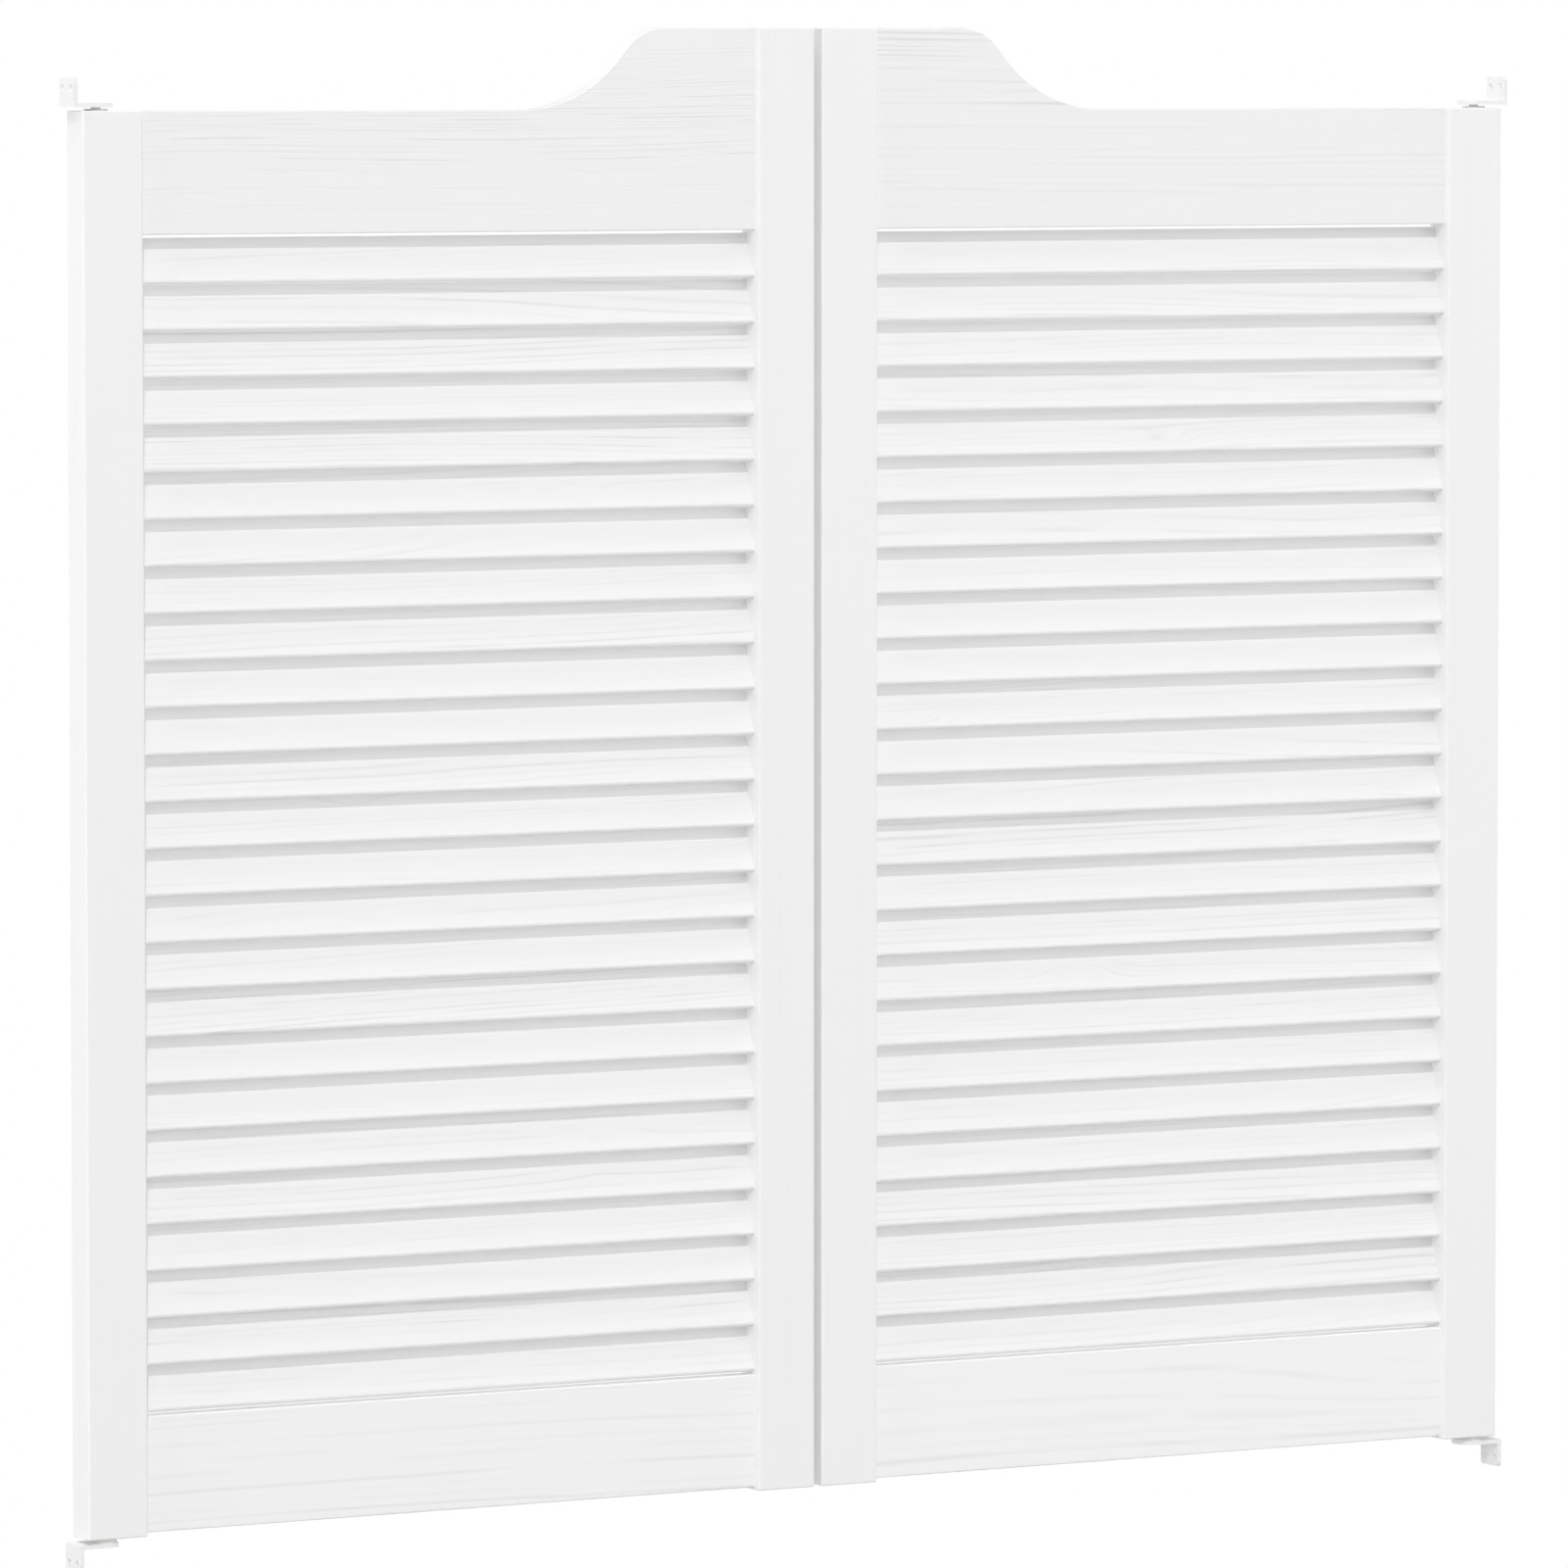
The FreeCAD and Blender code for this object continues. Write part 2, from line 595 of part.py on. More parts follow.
# The bottom pivot: a spindle stands in the bracket's arm. The leaf rests through a flanged bush and
# a washer on the arm. The sleeve over the bush holds the return spring round the spindle.
def bottom_pivot(name, side):
    bracket(f"{name}_bottom_bracket", side, -1, "foot_z - foot_gap", "spindle_diameter")
    place = (f"{side} * pivot_x", "foot_z")
    length = "bracket_thick + foot_gap + spindle_reach"
    low = "-1 * ( foot_gap + bracket_thick )"
    spindle = turned(f"{name}_spindle", *place, ("add", "spindle_diameter", low, length))
    top = size("spindle_reach")
    soften(spindle, "Chamfer", "spindle_diameter / 10", lambda edge: lies_at(edge, "Z", top))
    turned(
        f"{name}_thrust_washer",
        *place,
        ("add", "foot_flange_diameter", "-1 * foot_gap", "washer_thick"),
        ("cut", "foot_bush_bore", "-1 * foot_gap", "washer_thick"),
    )
    turned(
        f"{name}_foot_bush",
        *place,
        ("add", "sleeve_bore", "0", "foot_bush_depth"),
        ("add", "foot_flange_diameter", "-1 * foot_flange_thick", "foot_flange_thick"),
        ("cut", "foot_bush_bore", "-1 * foot_flange_thick", "foot_flange_thick + foot_bush_depth"),
    )
    turned(
        f"{name}_spring_sleeve",
        *place,
        ("add", "sleeve_diameter", "0", "sleeve_depth"),
        ("cut", "sleeve_bore", "0", "sleeve_room"),
    )
    return_spring(f"{name}_return_spring", *place)


# A close coil that stands on the foot bush.
def return_spring(label, x, z):
    body = piece(label, x, z)
    sketch = sketch_on(body, "XZ_Plane", "Wire")
    start = "foot_bush_depth + spring_wire / 2 + coil_gap"
    circles(sketch, "spring_wire", [start], across="coil_diameter / 2")
    coil = body.newObject("PartDesign::AdditiveHelix", "Coil")
    coil.Profile = sketch
    coil.ReferenceAxis = (sketch, ["V_Axis"])
    coil.Mode = "pitch-height-angle"
    bind(coil, Pitch="coil_pitch", Height="spring_height")
    body.Tip = coil
    doc.recompute()
    return body


# One leaf with its pivots. "side" is -1 for the leaf on the left and 1 for the one on the right.
def leaf(name, side):
    outer_stile(f"{name}_outer_stile", side)
    stile(f"{name}_inner_stile", f"{side} * inner_stile_x", "leaf_height", inward=side)
    head_rail(f"{name}_head_rail", side)
    bottom_rail(f"{name}_bottom_rail", side)
    slat_total = int(size("slat_count"))
    for lowest in range(1, slat_total + 1, 2):
        if lowest < slat_total:
            slats(f"{name}_slats_{lowest:02d}_{lowest + 1:02d}", side, lowest, 2)
        else:
            slats(f"{name}_slat_{lowest:02d}", side, lowest, 1)
    dowels(f"{name}_dowels", side)
    top_pivot(name, side)
    bottom_pivot(name, side)


leaf("left", -1)
leaf("right", 1)
doc.recompute()

for thing in doc.Objects:
    if "Invalid" in thing.State or "Error" in thing.State:
        raise ValueError(f"{thing.Label}: {thing.State}")

os.makedirs("parts", exist_ok=True)
pieces = [thing for thing in doc.Objects if thing.TypeId == "PartDesign::Body"]
for body in pieces:
    if body.Shape.isNull() or not body.Shape.isValid():
        raise ValueError(f"{body.Label}: no valid shape")
for body in pieces:
    body.Shape.exportStep(f"parts/{body.Label}.step")
print(len(pieces), "pieces written")
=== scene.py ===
import math

import bpy
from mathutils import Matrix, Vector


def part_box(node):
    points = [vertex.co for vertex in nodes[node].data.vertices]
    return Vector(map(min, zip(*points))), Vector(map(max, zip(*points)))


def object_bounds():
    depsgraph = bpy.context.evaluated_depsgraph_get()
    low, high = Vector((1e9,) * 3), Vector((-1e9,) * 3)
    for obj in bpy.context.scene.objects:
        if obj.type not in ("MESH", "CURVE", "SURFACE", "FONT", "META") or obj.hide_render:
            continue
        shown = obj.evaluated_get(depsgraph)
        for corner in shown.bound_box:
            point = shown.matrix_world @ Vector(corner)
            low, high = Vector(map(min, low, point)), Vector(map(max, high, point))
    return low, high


# A pair of louvred cafe swinging doors: brushed pine under white satin paint, on steel pivots.
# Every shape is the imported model's own. This script gives the pieces their paint, grain and metal.

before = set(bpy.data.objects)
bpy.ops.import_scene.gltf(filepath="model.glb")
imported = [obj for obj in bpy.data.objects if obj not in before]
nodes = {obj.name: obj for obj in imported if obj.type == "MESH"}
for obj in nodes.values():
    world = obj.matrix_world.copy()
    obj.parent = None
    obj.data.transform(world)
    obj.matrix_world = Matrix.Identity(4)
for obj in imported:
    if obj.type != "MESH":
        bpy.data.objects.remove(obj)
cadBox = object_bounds()
print("frame loaded:", len(nodes), "nodes")

quarterTurn = math.pi / 2
toMillimetres = (1000.0, 1000.0, 1000.0)  # patterns on the pieces are written in mm
noiseRoughness = 0.55  # how strong each finer layer of a noise is
white = (1.0, 1.0, 1.0, 1.0)


# A shader node tree, in which a formula reads as one call for each node. A value is a socket or a
# plain number.
class Tree:
    def __init__(self, tree):
        self.tree = tree
        tree.nodes.clear()

    def feed(self, socket, value):
        if isinstance(value, bpy.types.NodeSocket):
            self.tree.links.new(value, socket)
        else:
            socket.default_value = value

    def feedAll(self, sockets, values):
        for socket, value in zip(sockets, values):
            self.feed(socket, value)

    # inputs are named as in Blender, with _ for a space
    def node(self, kind, settings=None, **inputs):
        made = self.tree.nodes.new(kind)
        for name, value in (settings or {}).items():
            setattr(made, name, value)
        for name, value in inputs.items():
            self.feed(made.inputs[name.replace("_", " ")], value)
        return made

    def math(self, operation, *values):
        made = self.node("ShaderNodeMath", {"operation": operation})
        self.feedAll(made.inputs, values)
        return made.outputs[0]

    def vector(self, operation, *values):
        made = self.node("ShaderNodeVectorMath", {"operation": operation})
        self.feedAll(made.inputs, values)
        return made.outputs["Value" if operation == "DOT_PRODUCT" else "Vector"]

    # from low to high along an S-curve, as the value goes from start to end
    def ramp(self, value, start, end, low=0.0, high=1.0):
        made = self.node("ShaderNodeMapRange", {"interpolation_type": "SMOOTHSTEP"})
        self.feedAll(made.inputs, (value, start, end, low, high))
        return made.outputs[0]

    # from low to high in step with a number that goes from 0 to 1
    def between(self, share, low, high):
        return self.math("MULTIPLY_ADD", share, high - low, low)

    def sumOfSquares(self, first, second):
        return self.math("ADD", self.math("MULTIPLY", first, first), self.math("MULTIPLY", second, second))

    # the place on the piece, in metres
    def place(self):
        return self.node("ShaderNodeTexCoord").outputs["Object"]

    # noise from 0 to 1, drawn out to a length of its own along each axis
    def streaks(self, point, lengths, detail):
        scaled = self.vector("DIVIDE", point, lengths)
        return self.node(
            "ShaderNodeTexNoise", Vector=scaled, Scale=1.0, Detail=detail, Roughness=noiseRoughness,
        ).outputs[0]

    # three numbers from 0 to 1 that belong to a seed
    def draw(self, seed):
        made = self.node("ShaderNodeTexWhiteNoise", {"noise_dimensions": "1D"}, W=seed)
        return self.node("ShaderNodeSeparateXYZ", Vector=made.outputs["Color"]).outputs

    # a Mix node keeps its colours in its inputs 6 and 7, and gives their mix in its output 2
    def mix(self, amount, first, second):
        made = self.node("ShaderNodeMix", {"data_type": "RGBA"})
        self.feedAll((made.inputs[0], made.inputs[6], made.inputs[7]), (amount, first, second))
        return made.outputs[2]

    def finish(self, kind, shader):
        self.tree.links.new(shader, self.node(kind).inputs[0])


def newMaterial(name):
    material = bpy.data.materials.new(name)
    material.use_nodes = True
    return material, Tree(material.node_tree)


def dress(name, material):
    nodes[name].data.materials.clear()
    nodes[name].data.materials.append(material)


# a colour with its red, green and blue at a share of what they were
def toned(colour, share):
    return tuple(share * part for part in colour[:3]) + (1.0,)


grainSettings = {  # lengths in mm
    "seedReach": 900.0,  # by which a seed may move the noises
    "wave": {"lengths": (320.0, 60.0, 60.0), "detail": 0.0, "height": 7.0},  # slow wander of the rings
    "ripple": {"lengths": (90.0, 14.0, 14.0), "detail": 1.0, "height": 0.9},  # quick wander
    "drift": 0.7,  # rings by which the spacing wanders
    "driftPace": 0.37,  # how fast it does so, from ring to ring
    "lateWood": (0.48, 0.76),  # where a ring's line starts and is deepest, as shares of the ring
    "steepness": (0.25, 0.75),  # of the rings to the face, over which their lines grow sharp
    "flatLine": 0.12,  # what is left of a line where the rings lie flat in the face
    "weakRings": 0.8,  # share of the rings whose line isn't full
    "weakestRing": 0.2,  # what is left of its line
    "fade": {"lengths": (140.0, 7.0, 7.0), "detail": 1.0},  # over which the lines stand out or fade
    "fadeRange": (0.36, 0.58),  # of that noise, from faded to full
    "fadedLine": 0.15,  # what is left of a line where it has faded
    "fibre": {"lengths": (40.0, 0.5, 0.5), "detail": 2.0},
}


# Growth rings are shells about a pith that runs along the board, and may climb through it. Their phase
# is the distance to the pith, with a slow wave and a quick ripple along it and a bulge round a knot,
# over the ring spacing. Late wood is a narrow line near the end of each phase, deeper in some rings.
# It fades here and there, over stretches that get shorter as the breaks grow.
# The point is in mm, with X along the grain, Y through the board and Z across its face.
def makeGrain():
    s = grainSettings
    group = bpy.data.node_groups.new("pineGrain", "ShaderNodeTree")
    numbers = (
        "Seed", "Pith side", "Pith depth", "Pith climb", "Ring spacing",
        "Knot size", "Knot along", "Knot across", "Knot length", "Knot width", "Breaks",
    )
    group.interface.new_socket("Point", in_out="INPUT", socket_type="NodeSocketVector")
    for name in numbers:
        group.interface.new_socket(name, in_out="INPUT", socket_type="NodeSocketFloat")
    for name in ("Late wood", "Fibre"):
        group.interface.new_socket(name, in_out="OUTPUT", socket_type="NodeSocketFloat")
    t = Tree(group)
    given = t.node("NodeGroupInput").outputs
    point, seed = given["Point"], given["Seed"]
    chance = t.draw(seed)
    shift = t.node("ShaderNodeCombineXYZ", X=chance[0], Y=chance[1], Z=chance[2]).outputs[0]
    moved = t.vector("ADD", point, t.vector("MULTIPLY", shift, (s["seedReach"],) * 3))
    along, through, across = t.node("ShaderNodeSeparateXYZ", Vector=point).outputs

    # up to its height to either side
    def wander(lengths, detail, height):
        noise = t.streaks(moved, lengths, detail)
        return t.math("MULTIPLY", t.math("SUBTRACT", noise, 0.5), 2 * height)

    side = t.math("SUBTRACT", across, given["Pith side"])
    pithLine = t.math("MULTIPLY_ADD", along, given["Pith climb"], given["Pith depth"])
    depth = t.math("ADD", through, pithLine)
    toPith = t.math("SQRT", t.sumOfSquares(side, depth))
    wave = wander(**s["wave"])
    ripple = wander(**s["ripple"])

    fromKnot = t.math("DIVIDE", t.math("SUBTRACT", along, given["Knot along"]), given["Knot length"])
    besideKnot = t.math("DIVIDE", t.math("SUBTRACT", across, given["Knot across"]), given["Knot width"])
    knotDistance = t.sumOfSquares(fromKnot, besideKnot)
    knotShare = t.math("EXPONENT", t.math("MULTIPLY", knotDistance, -1.0))
    bulge = t.math("MULTIPLY", knotShare, given["Knot size"])

    radius = t.math("ADD", t.math("ADD", toPith, wave), t.math("ADD", ripple, bulge))
    turns = t.math("DIVIDE", radius, given["Ring spacing"])
    drift = t.node(
        "ShaderNodeTexNoise", {"noise_dimensions": "1D"}, W=t.math("ADD", turns, seed), Scale=s["driftPace"],
    ).outputs[0]
    phase = t.math("MULTIPLY_ADD", drift, 2 * s["drift"], turns)
    part = t.math("FRACT", phase)
    start, peak = s["lateWood"]
    line = t.math("MULTIPLY", t.ramp(part, start, peak), t.ramp(part, peak, 1.0, 1.0, 0.0))
    steep = t.math("DIVIDE", t.math("ABSOLUTE", side), toPith)
    line = t.math("MULTIPLY", line, t.ramp(steep, *s["steepness"], s["flatLine"], 1.0))
    ringChance = t.draw(t.math("ADD", t.math("FLOOR", phase), seed))
    line = t.math("MULTIPLY", line, t.ramp(ringChance[0], 0.0, s["weakRings"], s["weakestRing"], 1.0))
    broken = t.vector("MULTIPLY", moved, given["Breaks"])
    fade = t.ramp(t.streaks(broken, **s["fade"]), *s["fadeRange"], s["fadedLine"], 1.0)

    out = t.node("NodeGroupOutput")
    t.feed(out.inputs["Late wood"], t.math("MULTIPLY", line, fade))
    t.feed(out.inputs["Fibre"], t.streaks(moved, **s["fibre"]))
    return group


grain = makeGrain()

paintSettings = {
    "colour": (0.915, 0.915, 0.915, 1.0),  # white satin
    "grooveColour": (0.73, 0.73, 0.73, 1.0),  # where the paint lies thin over late wood
    "lineAmount": 0.6,  # of the groove colour
    "fibreAmount": 0.05,
    "fibreRange": (0.35, 0.65),  # of the fibre noise, from groove to plain
    "fibreFollows": 0.6,  # share of the fibre that grows with the strength of the grain
    "relief": 0.00007,  # m
    "fibreRelief": 0.12,  # as a share of the relief
    "roughness": 0.5,
}


# White paint over brushed pine: the grain shows as faint grey lines and as a shallow relief.
def paintWood(t, point, strength, paintedLightFactor, **grainInputs):
    s = paintSettings
    made = t.node("ShaderNodeGroup", {"node_tree": grain}, Point=point, **grainInputs)
    line = t.math("MULTIPLY", made.outputs["Late wood"], strength)
    fibreDepth = t.ramp(made.outputs["Fibre"], *s["fibreRange"], 1.0, 0.0)
    fibreStrength = t.math("MULTIPLY_ADD", strength, s["fibreFollows"], 1 - s["fibreFollows"])
    fibre = t.math("MULTIPLY", fibreDepth, fibreStrength)
    lineGrey = t.math("MULTIPLY", line, s["lineAmount"])
    fibreGrey = t.math("MULTIPLY", fibre, s["fibreAmount"])
    grey = t.math("ADD", lineGrey, fibreGrey)
    # painted light and shade: the whole board's paint is scaled lighter on the bottom rails and darker on
    # the head rails and slats
    colour = t.mix(grey, toned(s["colour"], paintedLightFactor), toned(s["grooveColour"], paintedLightFactor))
    height = t.math("MULTIPLY_ADD", fibre, -s["fibreRelief"], t.math("MULTIPLY", line, -1.0))
    bump = t.node("ShaderNodeBump", Strength=1.0, Distance=s["relief"], Height=height).outputs[0]
    shader = t.node("ShaderNodeBsdfPrincipled", Base_Color=colour, Roughness=s["roughness"], Normal=bump)
    t.finish("ShaderNodeOutputMaterial", shader.outputs[0])


boardSettings = {
    # By node: the strength of the grain, its pith's side and depth in mm from the middle of the doors,
    # the climb of the pith along the board, and the ring spacing in mm. A busy rail shows its grain
    # between two heights, in mm too, and is calm elsewhere. More breaks fade its lines over shorter
    # stretches. Its paint is scaled as painted light and shade: lighter on the bottom rails, as painted
    # light from below, and darker on the head rails, as painted shade.
    "left_outer_stile": {"strength": 0.12, "side": 430.0, "depth": 55.0, "climb": 0.02, "spacing": 3.2},
    "left_inner_stile": {"strength": 0.15, "side": 5.0, "depth": 30.0, "climb": -0.02, "spacing": 3.0},
    "right_inner_stile": {"strength": 0.15, "side": 60.0, "depth": 26.0, "climb": 0.02, "spacing": 3.0},
    "right_outer_stile": {"strength": 0.12, "side": 520.0, "depth": 40.0, "climb": 0.02, "spacing": 3.4},
    "left_head_rail": {
        "strength": 0.95, "side": 330.0, "depth": 26.0, "climb": -0.01, "spacing": 2.1,
        "busy": (374.0, 442.0), "calm": 0.45, "breaks": 2.2, "paintedLightFactor": 0.99,
    },
    "right_head_rail": {
        "strength": 1.3, "side": 338.0, "depth": 20.0, "climb": 0.02, "spacing": 4.0,
        "busy": (409.0, 470.0), "calm": 0.5, "paintedLightFactor": 0.985,
    },
    "left_bottom_rail": {
        "strength": 0.7, "side": -470.0, "depth": 34.0, "climb": 0.02, "spacing": 5.0,
        "busy": (-445.0, -412.0), "calm": 0.4, "paintedLightFactor": 1.025,
    },
    "right_bottom_rail": {
        "strength": 0.75, "side": -480.0, "depth": 20.0, "climb": 0.0, "spacing": 10.0,
        "busy": (-450.0, -414.0), "calm": 0.45, "paintedLightFactor": 1.033,
        "knot": (480.0, -392.0), "knotSize": 24.0, "knotLength": 130.0, "knotWidth": 26.0,
    },
}
plainBoard = {  # for what a board's own settings leave out
    "paintedLightFactor": 1.0,
    "breaks": 1.0,
    "busyEdge": 8.0,  # mm to either side of a busy height, over which the grain grows
    "knot": (0.0, 0.0),  # mm, along the board and across it
    "knotSize": 0.0,  # mm, by which the rings bulge round the knot
    "knotLength": 1.0,
    "knotWidth": 1.0,
}
boardSeeds = {"first": 11.0, "step": 7.0}


# A quarter turn about Y brings an upright board's length to X, and what was -X to Z.
def dressBoard(name, own, seed):
    s = {**plainBoard, **own}
    upright = name.endswith("stile")
    material, t = newMaterial(f"{name}_paint")
    turn = (0.0, quarterTurn if upright else 0.0, 0.0)
    turned = t.node("ShaderNodeMapping", Vector=t.place(), Rotation=turn, Scale=toMillimetres).outputs[0]
    strength = s["strength"]
    if "busy" in s:
        height = t.node("ShaderNodeSeparateXYZ", Vector=turned).outputs["Z"]
        low, high = s["busy"]
        edge = s["busyEdge"]
        above = t.ramp(height, low - edge, low + edge)
        below = t.ramp(height, high - edge, high + edge, 1.0, 0.0)
        strength = t.between(t.math("MULTIPLY", above, below), s["calm"], s["strength"])
    knotAlong, knotAcross = s["knot"]
    paintWood(
        t, turned, strength, s["paintedLightFactor"], Seed=seed, Pith_side=-s["side"] if upright else s["side"],
        Pith_depth=s["depth"], Pith_climb=s["climb"], Ring_spacing=s["spacing"],
        Knot_size=s["knotSize"], Knot_along=knotAlong, Knot_across=knotAcross,
        Knot_length=s["knotLength"], Knot_width=s["knotWidth"], Breaks=s["breaks"],
    )
    dress(name, material)


for number, (name, own) in enumerate(boardSettings.items()):
    dressBoard(name, own, boardSeeds["first"] + boardSeeds["step"] * number)
print("stiles and rails painted")

slatSettings = {  # lengths in mm. A pair of numbers is the least and the most that a slat may have.
    "count": 25,
    "tilt": math.radians(25.0),  # top edge to the back
    "seeds": {"left": 100.0, "right": 600.0},
    "draws": (0.25, 0.75, 0.5),  # added to a slat's seed, each for three chances of its own
    "plainShare": 0.2,  # of the slats, which have the least strength
    "strengths": (0.45, 1.1),
    "pithSides": (-65.0, 65.0),
    "pithDepths": (7.0, 42.0),
    "climbs": (-0.05, 0.05),
    "spacings": (2.4, 5.4),
    "cleanShare": 0.62,  # of the slats, which have no knot
    "knotSize": 9.0,  # at most
    "knotAlong": (-165.0, 165.0),
    "knotAcross": (-12.0, 12.0),
    "knotLength": 24.0,
    "knotWidth": 6.0,
    "breaks": 1.6,
    # painted shade: the slats' paint is a little darker than the frame's
    "paintedLightFactor": 0.97,
}


# The slats of a leaf share one paint, and each is a board of its own by its course, its number in the
# stack. The middle of each is brought to zero and its face upright, as the grain's point has them.
def dressSlats(side):
    s = slatSettings
    slats = [name for name in nodes if name.startswith(f"{side}_slat")]
    lowest = min(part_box(name)[0].z for name in slats)
    highest = max(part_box(name)[1].z for name in slats)
    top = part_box(f"{side}_slat_{s['count']}")
    pitch = (highest - lowest - (top[1].z - top[0].z)) / (s["count"] - 1)
    firstCourse = (lowest + highest) / 2 - pitch * s["count"] / 2  # its lower edge
    leafMiddle = (top[0].x + top[1].x) / 2

    material, t = newMaterial(f"{side}_slat_paint")
    place = t.place()
    height = t.node("ShaderNodeSeparateXYZ", Vector=place).outputs["Z"]
    course = t.math("FLOOR", t.math("DIVIDE", t.math("SUBTRACT", height, firstCourse), pitch))
    drop = t.math("MULTIPLY_ADD", course, -pitch, -firstCourse - pitch / 2)
    lowered = t.vector("ADD", place, t.node("ShaderNodeCombineXYZ", Z=drop).outputs[0])
    centred = t.vector("ADD", lowered, (-leafMiddle, 0.0, 0.0))
    turn = (s["tilt"], 0.0, 0.0)
    turned = t.node("ShaderNodeMapping", Vector=centred, Rotation=turn, Scale=toMillimetres).outputs[0]

    seed = t.math("ADD", course, s["seeds"][side])
    first, second, third = (t.draw(t.math("ADD", seed, added)) for added in s["draws"])
    paintWood(
        t, turned, t.ramp(first[0], s["plainShare"], 1.0, *s["strengths"]), s["paintedLightFactor"], Seed=seed,
        Pith_side=t.between(first[1], *s["pithSides"]),
        Pith_depth=t.between(first[2], *s["pithDepths"]),
        Pith_climb=t.between(second[0], *s["climbs"]),
        Ring_spacing=t.between(second[1], *s["spacings"]),
        Knot_size=t.ramp(second[2], s["cleanShare"], 1.0, 0.0, s["knotSize"]),
        Knot_along=t.between(third[0], *s["knotAlong"]),
        Knot_across=t.between(third[1], *s["knotAcross"]),
        Knot_length=s["knotLength"], Knot_width=s["knotWidth"], Breaks=s["breaks"],
    )
    for name in slats:
        dress(name, material)


for side in slatSettings["seeds"]:
    dressSlats(side)
print("slats painted")

metalSettings = {
    "detail": 3.0,
    "dulling": 0.1,  # by which the scratches raise or lower the roughness
    "bump": 0.4,
    "depth": 0.00002,  # m
}


# Brushed or drawn metal: fine scratches drawn out along its length, in mm, dull it a little.
def bareMetal(name, colour, roughness, scratchLengths):
    s = metalSettings
    material, t = newMaterial(name)
    scratch = t.streaks(t.vector("MULTIPLY", t.place(), toMillimetres), scratchLengths, s["detail"])
    dull = t.math("MULTIPLY_ADD", scratch, 2 * s["dulling"], roughness - s["dulling"])
    bump = t.node("ShaderNodeBump", Strength=s["bump"], Distance=s["depth"], Height=scratch).outputs[0]
    shader = t.node("ShaderNodeBsdfPrincipled", Base_Color=colour, Metallic=1.0, Roughness=dull, Normal=bump)
    t.finish("ShaderNodeOutputMaterial", shader.outputs[0])
    return material


skinSettings = {
    "rippleLengths": (0.9, 0.9, 0.9),  # mm
    "detail": 2.0,
    "shadeRange": (0.3, 0.7),  # of the ripple, from plain to shaded
    "shade": 0.97,  # as a share of the colour
    "bump": 0.6,
}


# A smooth skin with a faint ripple, such as powder coat or moulded nylon. The ripple's depth is in m.
def smoothSkin(name, colour, roughness, rippleDepth):
    s = skinSettings
    material, t = newMaterial(name)
    ripple = t.streaks(t.vector("MULTIPLY", t.place(), toMillimetres), s["rippleLengths"], s["detail"])
    shade = t.mix(t.ramp(ripple, *s["shadeRange"]), colour, toned(colour, s["shade"]))
    bump = t.node("ShaderNodeBump", Strength=s["bump"], Distance=rippleDepth, Height=ripple).outputs[0]
    shader = t.node("ShaderNodeBsdfPrincipled", Base_Color=shade, Roughness=roughness, Normal=bump)
    t.finish("ShaderNodeOutputMaterial", shader.outputs[0])
    return material


hardware = {  # by the last word of the node's name
    "bracket": smoothSkin("white_powder_coat", (0.9, 0.9, 0.9, 1.0), 0.42, 0.00003),
    "pin": bareMetal("bright_zinc", (0.62, 0.62, 0.61, 1.0), 0.3, (0.3, 0.3, 4.0)),
    "spindle": bareMetal("turned_steel", (0.56, 0.56, 0.56, 1.0), 0.32, (4.0, 4.0, 0.2)),
    "sleeve": bareMetal("drawn_tube", (0.58, 0.58, 0.57, 1.0), 0.34, (0.3, 0.3, 5.0)),
    "spring": bareMetal("spring_wire", (0.36, 0.36, 0.38, 1.0), 0.36, (2.0, 2.0, 0.2)),
    "bush": smoothSkin("natural_nylon", (0.82, 0.81, 0.77, 1.0), 0.45, 0.00001),
    "washer": smoothSkin("white_acetal", (0.84, 0.84, 0.82, 1.0), 0.4, 0.00001),
    "dowels": smoothSkin("beech", (0.62, 0.43, 0.25, 1.0), 0.6, 0.00004),
}
for name in nodes:
    kind = name.split("_")[-1]
    if kind in hardware:
        dress(name, hardware[kind])
print("pivots and brackets finished")

floorSettings = {
    "drop": 0.35,  # m, under the brackets
    "size": 3.0,  # m, along each side
    "colour": (0.52, 0.52, 0.52, 1.0),
    "lift": 0.55,  # strength of the glow
}


# 1 for what the eye, a mirror or a lens sees, and 0 for what lights the doors. A glow by it makes a
# white background, and no light on the object.
def seenOnly(t):
    path = t.node("ShaderNodeLightPath").outputs
    direct = t.math("MAXIMUM", path["Is Camera Ray"], path["Is Glossy Ray"])
    return t.math("MAXIMUM", direct, path["Is Transmission Ray"])


def makeFloor():
    s = floorSettings
    half = s["size"] / 2
    level = cadBox[0][2] - s["drop"]
    corners = [(-half, -half, level), (half, -half, level), (half, half, level), (-half, half, level)]
    mesh = bpy.data.meshes.new("floor")
    mesh.from_pydata(corners, [], [(0, 1, 2, 3)])
    floor = bpy.data.objects.new("floor", mesh)
    bpy.context.scene.collection.objects.link(floor)
    material, t = newMaterial("pale_floor")
    matt = t.node("ShaderNodeBsdfDiffuse", Color=s["colour"]).outputs[0]
    strength = t.math("MULTIPLY", seenOnly(t), s["lift"])
    glow = t.node("ShaderNodeEmission", Color=white, Strength=strength).outputs[0]
    both = t.node("ShaderNodeAddShader")
    t.feedAll(both.inputs, (matt, glow))
    t.finish("ShaderNodeOutputMaterial", both.outputs[0])
    mesh.materials.append(material)


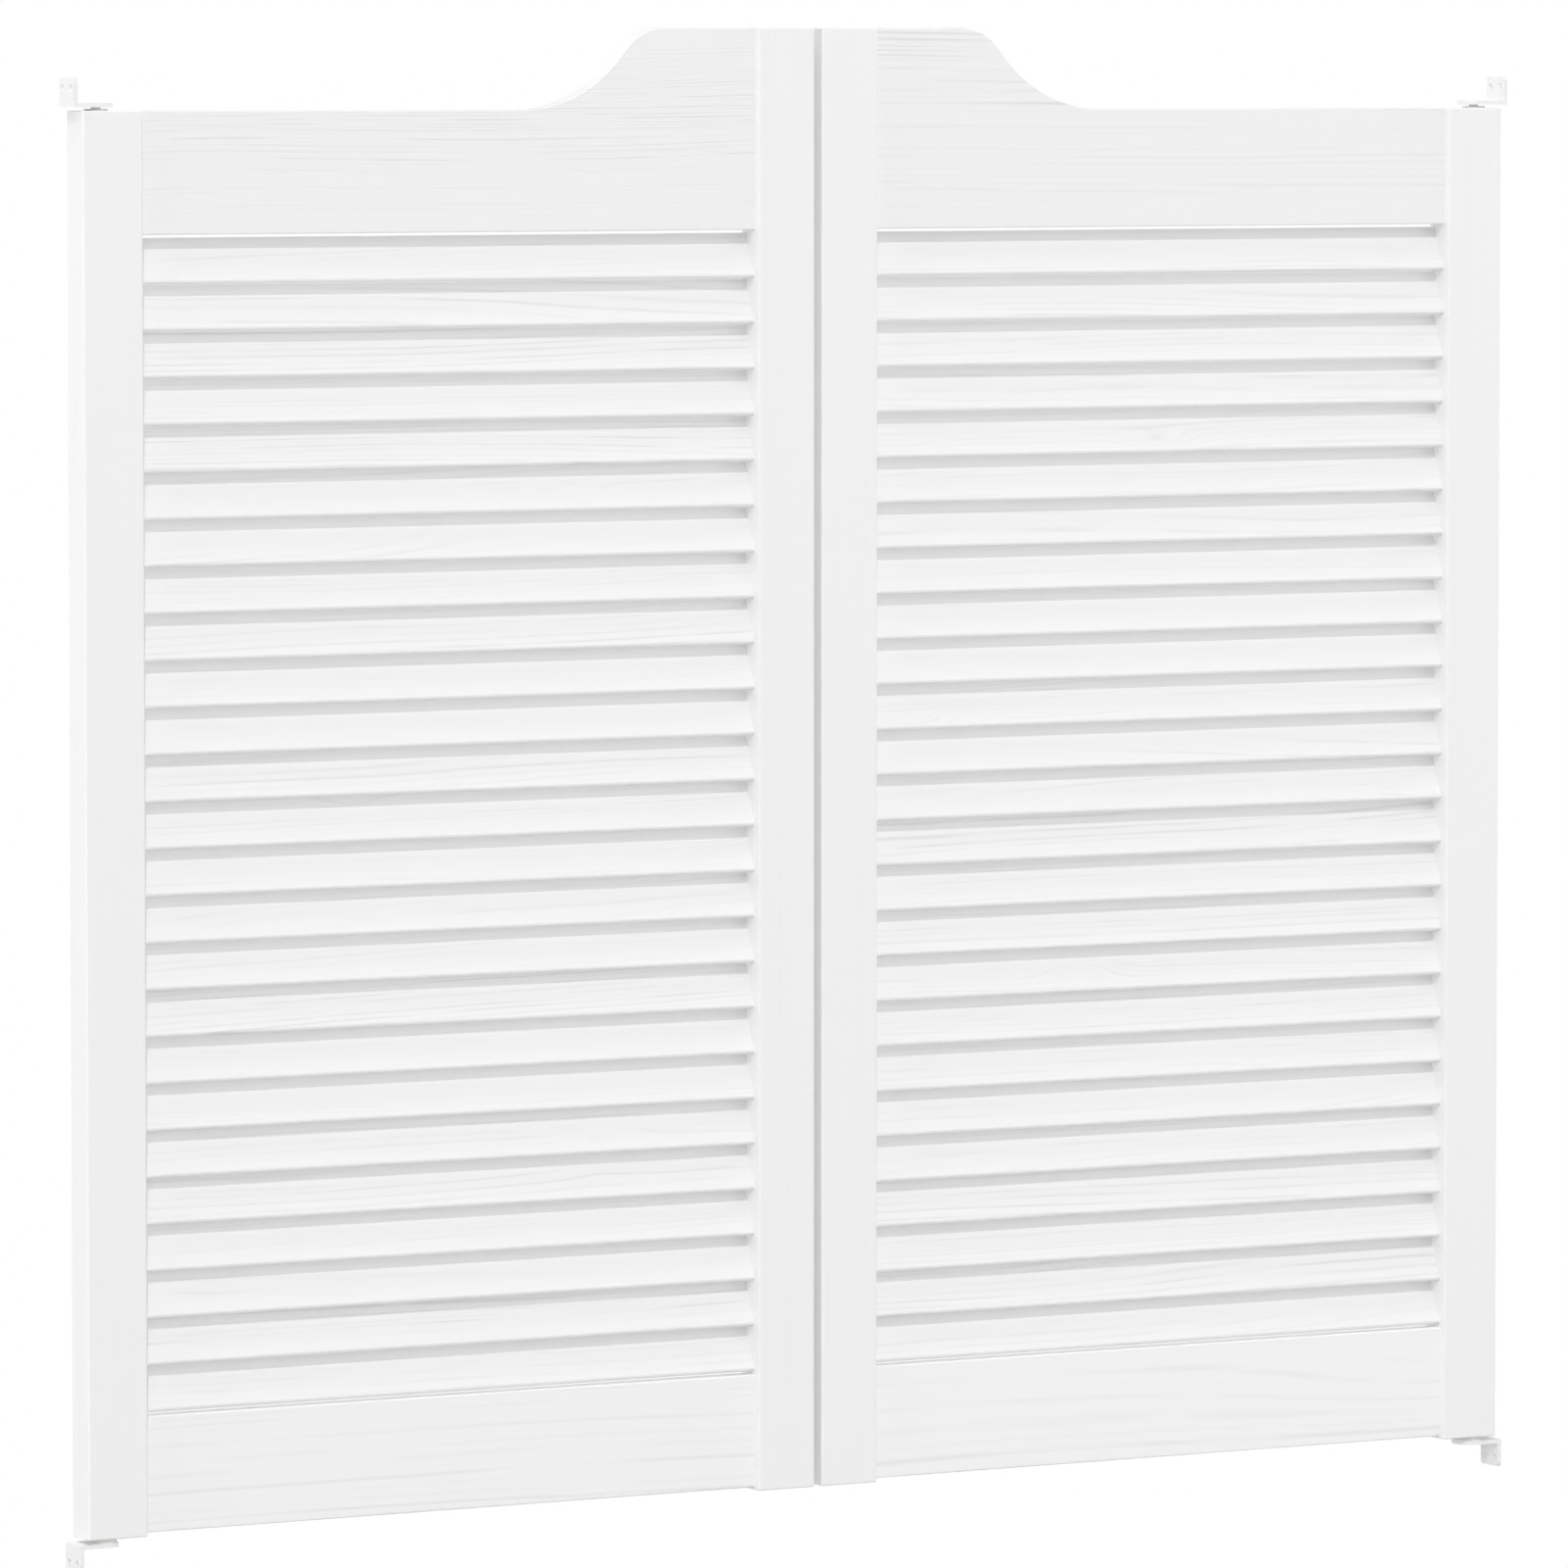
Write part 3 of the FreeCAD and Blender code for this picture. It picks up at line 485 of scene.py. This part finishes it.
lightSettings = {
    # soft glows all round: strength, degrees left of straight on, degrees up, and how narrow each is
    "glows": {
        "skylight": (4.8, 85.0, 72.0, 24.0),
        "front ceiling": (1.0, 0.0, 65.0, 20.0),
        "left window": (4.05, 90.0, 0.0, 20.0),
        "front left": (3.75, 30.0, 20.0, 30.0),
        "front right": (2.3, -30.0, 5.0, 20.0),
        "right wall": (1.64, -90.0, 0.0, 4.0),
        "back wall": (1.74, 180.0, 0.0, 4.0),
        "ground": (1.25, 0.0, -90.0, 1.0),
    },
    "sun": 0.87,
    "sunHeight": math.radians(40.0),
    "sunSide": math.radians(29.0),  # left of straight on
    "sunWidth": math.radians(2.5),
}


# The room's light is a sum of glows. Each is brightest where it is aimed and fades as a power of the
# cosine of the angle from there.
def makeLight():
    s = lightSettings
    world = bpy.data.worlds.new("studio")
    bpy.context.scene.world = world
    world.use_nodes = True
    t = Tree(world.node_tree)
    way = t.node("ShaderNodeTexCoord").outputs["Generated"]
    level = 0.0
    for strength, side, height, narrowness in s["glows"].values():
        side, height = math.radians(side), math.radians(height)
        aim = (-math.sin(side) * math.cos(height), -math.cos(side) * math.cos(height), math.sin(height))
        facing = t.math("POWER", t.math("MAXIMUM", t.vector("DOT_PRODUCT", way, aim), 0.0), narrowness)
        level = t.math("MULTIPLY_ADD", facing, strength, level)
    seen = seenOnly(t)
    shown = t.math("ADD", t.math("MULTIPLY", level, t.math("SUBTRACT", 1.0, seen)), seen)
    background = t.node("ShaderNodeBackground", Color=white, Strength=shown)
    t.finish("ShaderNodeOutputWorld", background.outputs[0])

    lamp = bpy.data.lights.new("sun", "SUN")
    lamp.energy = s["sun"]
    lamp.angle = s["sunWidth"]
    sun = bpy.data.objects.new("sun", lamp)
    sun.rotation_euler = (quarterTurn - s["sunHeight"], 0.0, -s["sunSide"])
    bpy.context.scene.collection.objects.link(sun)


cameraSettings = {
    "place": (-3.2556, -5.7181, 0.4354),  # m
    "turn": math.radians(29.518),  # right of +Y
    "dip": math.radians(3.831),
    "lens": 245.6,  # mm
    "sensor": 36.0,  # mm
    "farthest": 100.0,  # m
}


def makeCamera():
    s = cameraSettings
    lens = bpy.data.cameras.new("camera")
    lens.lens = s["lens"]
    lens.sensor_width = s["sensor"]
    lens.clip_end = s["farthest"]
    camera = bpy.data.objects.new("camera", lens)
    camera.location = s["place"]
    camera.rotation_euler = (quarterTurn - s["dip"], 0.0, -s["turn"])
    bpy.context.scene.collection.objects.link(camera)
    bpy.context.scene.camera = camera


makeFloor()
makeLight()
makeCamera()
bpy.context.scene.view_settings.view_transform = "Standard"
print("floor, light and camera set")
